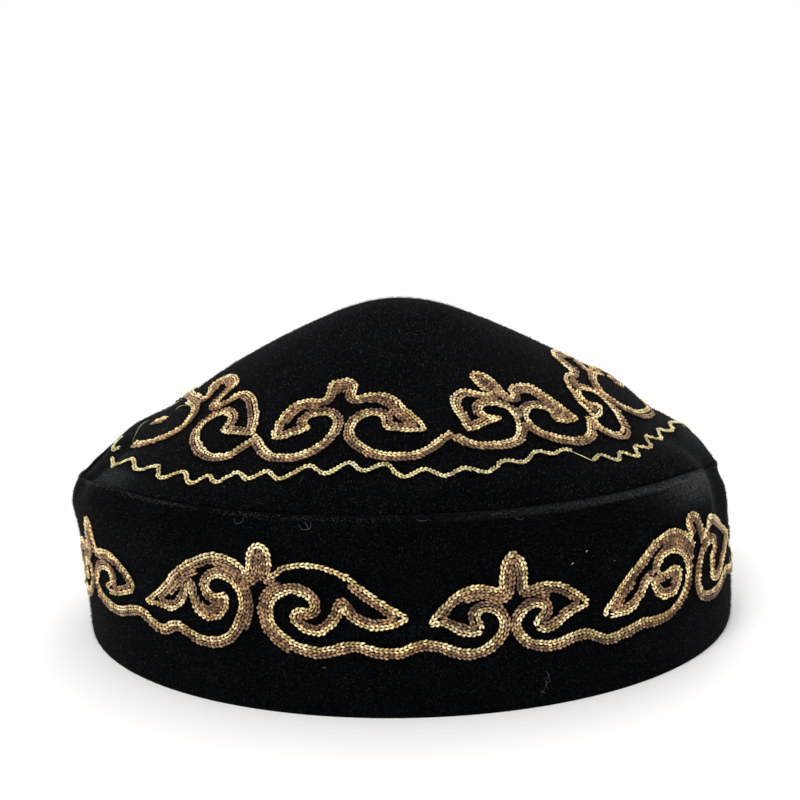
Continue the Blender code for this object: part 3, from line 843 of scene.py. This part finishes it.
def make_stitches(name, wall, lines, material, seed, size=1.0):
    """Links of two strands laid end to end along the lines, each a little unlike the next."""
    chance = np.random.default_rng(seed)
    starts, forward, side, normal, length = link_frames(lines, WALLS[wall], size * LINK_PITCH)
    points, shades, quads, triangles = link_template()
    count = len(starts)
    wide = size * chance.normal(1.0, WIDTH_SPREAD, (count, 1, 1))
    high = size * chance.normal(1.0, HEIGHT_SPREAD, (count, 1, 1))
    shift = chance.normal(0.0, SIDE_SPREAD, (count, 1, 1))
    along = points[:, 0:1] * (length[:, None, None] / LINK_PITCH)
    aside = points[:, 1:2] * wide + shift
    height = points[:, 2:3] * high
    moved = along * forward[:, None] + aside * side[:, None] + height * normal[:, None]
    shade = np.clip(shades * chance.uniform(DARKEST_LINK, 1.0, (count, 1)), 0.0, 1.0)
    step = len(points) * np.arange(count)[:, None, None]
    faces = [(quads + step).reshape(-1, 4), (triangles + step).reshape(-1, 3)]
    piece = mesh_piece(name, starts[:, None] + MM * moved, faces, material, shade)


def make_loose_strands(name, strands, material):
    """Tubes along curves charted on the velvet, bowed off it by a sine and drawn in at both tips."""
    side = np.arange(LOOSE_SIDES)
    turns = side * 2.0 * np.pi / LOOSE_SIDES
    points, faces, shades = [], [], []
    start = 0
    for strand in strands:
        wall = WALLS[strand.wall]
        angle, station = wall.place(*flowing(strand.points, LOOSE_STEP).T)
        normal = wall.normal(angle, station)
        bow = np.sin(np.pi * np.linspace(0.0, 1.0, len(normal)))[:, None]
        centre = wall.face(angle, station) + MM * (strand.radius + strand.lift * bow) * normal
        across = unit(np.cross(normal, np.gradient(centre, axis=0)))
        thick = strand.radius * MM * np.sqrt(np.clip(bow, THINNEST_TIP, 1.0))
        rings = [centre + thick * (np.cos(turn) * across + np.sin(turn) * normal) for turn in turns]
        points.append(np.stack(rings, axis=1).reshape(-1, 3))
        faces.append(start + ring_faces(len(normal), LOOSE_SIDES))
        last = start + LOOSE_SIDES * (len(normal) - 1)
        faces.append(np.array([start + side[::-1], last + side]))
        shades.append(np.full(len(points[-1]), strand.shade))
        start += len(points[-1])
    piece = mesh_piece(name, np.concatenate(points), faces, material, np.concatenate(shades))


def cell_of(cells, along, up):
    """Column and row in the grid of cells at a place counted in cells, the columns going round."""
    return np.mod(along, cells.shape[0]), np.clip(up, 0, cells.shape[1] - 1)


def stitched_cells(lines, length, height):
    """Grid of cells, along by up, true within CLEARED_REACH of the lines."""
    cells = np.zeros((int(length * CELLS_PER_MM) + 1, int(height * CELLS_PER_MM) + 1), bool)
    along, up = (np.concatenate(lines) * CELLS_PER_MM).astype(int).T
    reach = int(round(CLEARED_REACH * CELLS_PER_MM))
    for across in range(-reach, reach + 1):
        for rise in range(-reach, reach + 1):
            cells[cell_of(cells, along + across, up + rise)] = True
    return cells


def make_pile(name, wall, places, cells, material, seed):
    """Fibres standing on the velvet, each a thin three-sided spike, none under the stitches."""
    chance = np.random.default_rng(seed)
    free = ~cells[cell_of(cells, *(places * CELLS_PER_MM).astype(int))]
    angle, station = WALLS[wall].place(*places[:, free])
    root = WALLS[wall].face(angle, station)
    normal = WALLS[wall].normal(angle, station)
    count = len(root)
    heading = unit(normal + chance.normal(0.0, FIBRE_SPREAD, (count, 3)) + FIBRE_LEAN)
    side = unit(np.cross(heading, chance.normal(0.0, 1.0, (count, 3))))
    other = np.cross(heading, side)
    length = FIBRE_LENGTH * chance.uniform(*FIBRE_LENGTHS, (count, 1))
    corners = []
    for turn in (0.0, 2.0 * np.pi / 3.0, 4.0 * np.pi / 3.0):
        ring = np.cos(turn) * side + np.sin(turn) * other
        corners.append(root - ROOT_DEPTH * normal + FIBRE_HALF_WIDTH * ring)
    points = np.stack([*corners, root + length * heading], axis=1)
    points[..., 2] = np.maximum(points[..., 2], 0.0)
    spike = np.array([(0, 1, 3), (1, 2, 3), (2, 0, 3)])
    faces = (spike + 4 * np.arange(count)[:, None, None]).reshape(-1, 3)
    # Lower at the root than at the tip, so that a pile fibre's pale, painted sheen, sits at its tip
    shade = chance.random((count, 1)) * (ROOT_SHADE, ROOT_SHADE, ROOT_SHADE, 1.0)
    piece = mesh_piece(name, points, [faces], material, shade)


def fill(tree, node, inputs):
    """Set each input of a node to its value, or link it to the socket given for it."""
    for name, value in inputs.items():
        if isinstance(value, bpy.types.NodeSocket):
            tree.links.new(value, node.inputs[name])
        else:
            node.inputs[name].default_value = value


def new_node(tree, kind, inputs, **settings):
    """New node of a kind, with its settings and its inputs."""
    node = tree.nodes.new(kind)
    for name, value in settings.items():
        setattr(node, name, value)
    fill(tree, node, inputs)
    return node


def new_material(name):
    """Material with its node tree and its Principled shader."""
    material = bpy.data.materials.new(name)
    material.use_nodes = True
    return material, material.node_tree, material.node_tree.nodes["Principled BSDF"]


def pattern(tree, kind, inputs, **settings):
    """Strength of a texture laid on the object's own coordinates, its scale counted per metre."""
    place = new_node(tree, "ShaderNodeTexCoord", {}).outputs["Object"]
    return new_node(tree, kind, {"Vector": place, **inputs}, **settings).outputs["Fac"]


def noise(tree, scale, detail):
    """Strength of a noise."""
    return pattern(tree, "ShaderNodeTexNoise", {"Scale": scale, "Detail": detail})


def piece_shade(tree):
    """Shade that the piece's mesh carries."""
    return new_node(tree, "ShaderNodeAttribute", {}, attribute_name="shade").outputs["Fac"]


def ramp(tree, source, stops):
    """Colours of the given stops by the source."""
    node = new_node(tree, "ShaderNodeValToRGB", {"Fac": source})
    elements = node.color_ramp.elements
    while len(elements) < len(stops):
        elements.new(0.5)
    for element, (position, colour) in zip(elements, stops):
        element.position = position
        element.color = (*colour, 1.0)
    return node.outputs["Color"]


def product(tree, first, second):
    """First times second."""
    inputs = {0: first, 1: second}
    return new_node(tree, "ShaderNodeMath", inputs, operation="MULTIPLY").outputs["Value"]


def mixed(tree, factor, first, second, blend="MIX"):
    """Mix of two colours by a factor, whose sockets are the node's inputs 6, 7 and 0."""
    inputs = {0: factor, 6: first, 7: second}
    return new_node(tree, "ShaderNodeMix", inputs, data_type="RGBA", blend_type=blend).outputs[2]


def bump(tree, height, distance, strength, before=None):
    """Normal of a height in metres, over an earlier one if there is one."""
    inputs = {"Height": height, "Distance": distance, "Strength": strength}
    if before is not None:
        inputs["Normal"] = before
    return new_node(tree, "ShaderNodeBump", inputs).outputs["Normal"]


def velvet(name, blacks, sheen):
    """Black pile: blotches where it lies over, fine grain, and a grey sheen at grazing angles."""
    material, tree, surface = new_material(name)
    grain = noise(tree, scale=2600.0, detail=2.0)
    blotches = noise(tree, scale=70.0, detail=4.0)
    patches = noise(tree, scale=1500.0, detail=3.0)
    tone = ramp(tree, blotches, blacks)
    colour = mixed(tree, 1.0, tone, ramp(tree, grain, VELVET_SPECKS), "MULTIPLY")
    # Pale crushed pile and painted sheen highlight, from the piece's shade, broken by patches
    pressed_and_sheen = product(tree, piece_shade(tree), ramp(tree, patches, CRUSHED_AND_SHEEN_GAPS))
    soft = bump(tree, blotches, distance=0.6 * MM, strength=0.5)
    fill(tree, surface, {
        "Base Color": mixed(tree, pressed_and_sheen, colour, CRUSHED_PILE_AND_SHEEN),
        "Normal": bump(tree, grain, distance=0.25 * MM, strength=0.7, before=soft),
        "Roughness": 0.9,
        "Specular IOR Level": 0.02,
        "Sheen Weight": sheen,
        "Sheen Roughness": 0.35,
        "Sheen Tint": SHEEN_TINT,
    })
    return material


def plain_cloth(name):
    """Dark woven back of the velvet: two sets of fine ribs crossed, with a little slub."""
    material, tree, surface = new_material(name)
    slub = noise(tree, scale=900.0, detail=3.0)
    ribs = None
    for direction in ("X", "Z"):
        inputs = {"Scale": 420.0, "Distortion": 1.5}
        wave = pattern(tree, "ShaderNodeTexWave", inputs, bands_direction=direction)
        ribs = bump(tree, wave, distance=0.10 * MM, strength=0.5, before=ribs)
    fill(tree, surface, {
        "Base Color": ramp(tree, slub, CLOTH_SHADES),
        "Normal": ribs,
        "Roughness": 0.85,
        "Specular IOR Level": 0.2,
    })
    return material


def fibre(name, pale):
    """Fibres of the pile, most of them black and a few pale at the end of the draw: the pale tips are
    painted sheen. Lint uses it too, and there the pale is the lint's own colour.
    """
    material, tree, surface = new_material(name)
    tip = (1.0, (pale, 0.94 * pale, 0.88 * pale))
    tone = ramp(tree, piece_shade(tree), (*FIBRE_BLACKS, tip))
    fill(tree, surface, {"Base Color": tone, "Roughness": 0.8, "Specular IOR Level": 0.15})
    return material


def thread(name, shades, tint):
    """Cotton thread: a tone drawn for each link, darkened by the painted shade of its strands, its hue
    changing along the row, fine fibre grain.
    """
    material, tree, surface = new_material(name)
    patches = noise(tree, scale=160.0, detail=3.0)
    grain = noise(tree, scale=3600.0, detail=2.0)
    dye = noise(tree, scale=75.0, detail=2.0)
    spread = new_node(tree, "ShaderNodeMapRange", {
        "Value": patches, "From Min": 0.3, "From Max": 0.7, "To Min": 0.7, "To Max": 1.15})
    tone = ramp(tree, product(tree, piece_shade(tree), spread.outputs["Result"]), shades)
    tinted = mixed(tree, 1.0, tone, tint, "MULTIPLY")
    colour = mixed(tree, ramp(tree, dye, DYE_PATCHES), tone, tinted)
    fill(tree, surface, {
        "Base Color": mixed(tree, 1.0, colour, ramp(tree, grain, THREAD_HAIRS), "MULTIPLY"),
        "Normal": bump(tree, grain, distance=0.15 * MM, strength=0.6),
        "Roughness": 0.6,
        "Specular IOR Level": 0.35,
        "Sheen Weight": 0.15,
    })
    return material


def make_embroidery():
    """Scrolls on the band and the crown in two colours, the zigzag, loose threads and lint."""
    gold = thread("gold_thread", GOLD_SHADES, GOLD_TINT)
    brown = thread("brown_thread", BROWN_SHADES, BROWN_TINT)
    pale = thread("zigzag_thread", ZIGZAG_SHADES, GOLD_TINT)
    band = scroll_rows(BAND_SCROLLS, 0.0, on_hem)
    crown = scroll_rows(CROWN_SCROLLS, CROWN_CHART_EDGE, on_seam)
    zigzag = zigzag_rows()
    make_stitches("band_gold_stitches", "band", band[0], gold, seed=11)
    make_stitches("band_brown_stitches", "band", band[1], brown, seed=12)
    make_stitches("crown_gold_stitches", "crown", crown[0], gold, seed=13)
    make_stitches("crown_brown_stitches", "crown", crown[1], brown, seed=14)
    make_stitches("zigzag_stitches", "crown", zigzag, pale, seed=15, size=ZIGZAG_SIZE)
    make_loose_strands("loose_strands", LOOSE, pale)
    make_loose_strands("lint", LINT, fibre("lint_fibre", pale=0.17))
    return band[0] + band[1], crown[0] + crown[1] + zigzag


def make_velvet_pile(band_lines, crown_lines):
    """Fibres all over the band and the crown, evenly by area, and clumps of pale ones at the seam."""
    chance = np.random.default_rng(21)
    height = SEAM_HEIGHT / MM
    cells = stitched_cells(band_lines, HEM_ROUND, height)
    along = chance.random(FIBRES) * HEM_ROUND
    places = np.stack([along, chance.random(FIBRES) * BAND_TOP * height])
    material = fibre("band_fibre", pale=0.08)
    make_pile("band_pile", "band", places, cells, material, seed=22)
    slope = SLOPE_LENGTH[-1]
    cells = stitched_cells(crown_lines, SEAM_ROUND, slope)
    along = chance.random(FIBRES) * SEAM_ROUND
    up = np.interp(np.sqrt(chance.random(FIBRES)), SLOPE_SHARES[::-1], SLOPE_LENGTH[::-1])
    places = np.stack([along, np.minimum(up, slope - PEAK_CLEARANCE)])
    material = fibre("crown_fibre", pale=0.13)
    make_pile("crown_pile", "crown", places, cells, material, seed=23)
    clumps = chance.random(SEAM_CLUMPS) * HEM_ROUND
    along = clumps[chance.integers(0, SEAM_CLUMPS, SEAM_FIBRES)]
    along = along + chance.normal(0.0, CLUMP_SPREAD, SEAM_FIBRES)
    up = np.minimum(chance.normal(SEAM_UP, SEAM_SPREAD, SEAM_FIBRES), SEAM_UP + SEAM_SPREAD)
    open_cells = np.zeros((1, 1), bool)
    material = fibre("seam_fibre", pale=0.22)
    make_pile("seam_pile", "band", np.stack([along, up]), open_cells, material, seed=24)


def make_floor():
    """Pale flat floor that ends behind the cap, in front of the white surroundings."""
    material, tree, surface = new_material("floor_paint")
    fill(tree, surface, {"Base Color": (0.90, 0.90, 0.90, 1.0), "Roughness": 0.7})
    data = bpy.data.meshes.new("floor")
    points = [(x, y, 0.0) for y in (-FLOOR_HALF, FLOOR_BACK) for x in (-FLOOR_HALF, FLOOR_HALF)]
    data.from_pydata(points, [], [(0, 1, 3, 2)])
    data.materials.append(material)
    add_object("floor", data)


def make_lights():
    """White surroundings, and square soft lights turned towards the cap."""
    world = bpy.data.worlds.new("studio")
    world.use_nodes = True
    background = world.node_tree.nodes["Background"]
    fill(world.node_tree, background, {"Color": (1.0, 1.0, 1.0, 1.0), "Strength": 1.0})
    bpy.context.scene.world = world
    for light in LIGHTS:
        data = bpy.data.lights.new(light.name, "AREA")
        data.size = light.size
        data.energy = light.power
        data.color = light.colour
        item = add_object(light.name, data)
        item.location = light.place
        direction = Vector(LIGHT_TARGET) - Vector(light.place)
        item.rotation_euler = direction.to_track_quat("-Z", "Y").to_euler()


def make_camera():
    """Camera in front of the cap, a little above it, looking down and turned as in the photo."""
    data = bpy.data.cameras.new("camera")
    data.lens = FOCAL_LENGTH
    data.sensor_width = SENSOR_WIDTH
    data.clip_start = CAMERA_NEAR
    camera = add_object("camera", data)
    pitch = Matrix.Rotation(np.radians(90.0 - CAMERA_PITCH), 4, "X")
    roll = Matrix.Rotation(np.radians(-CAMERA_ROLL), 4, "Z")
    camera.matrix_world = Matrix.Translation(CAMERA_PLACE) @ pitch @ roll
    bpy.context.scene.camera = camera


def main():
    """Make everything."""
    bpy.context.scene.view_settings.view_transform = "Standard"
    make_camera()
    make_lights()
    make_floor()
    cloth = plain_cloth("inside_cloth")
    make_band(velvet("band_velvet", BAND_BLACKS, sheen=0.018), cloth)
    make_crown(velvet("crown_velvet", CROWN_BLACKS, sheen=0.022), cloth)
    band_lines, crown_lines = make_embroidery()
    make_velvet_pile(band_lines, crown_lines)


main()
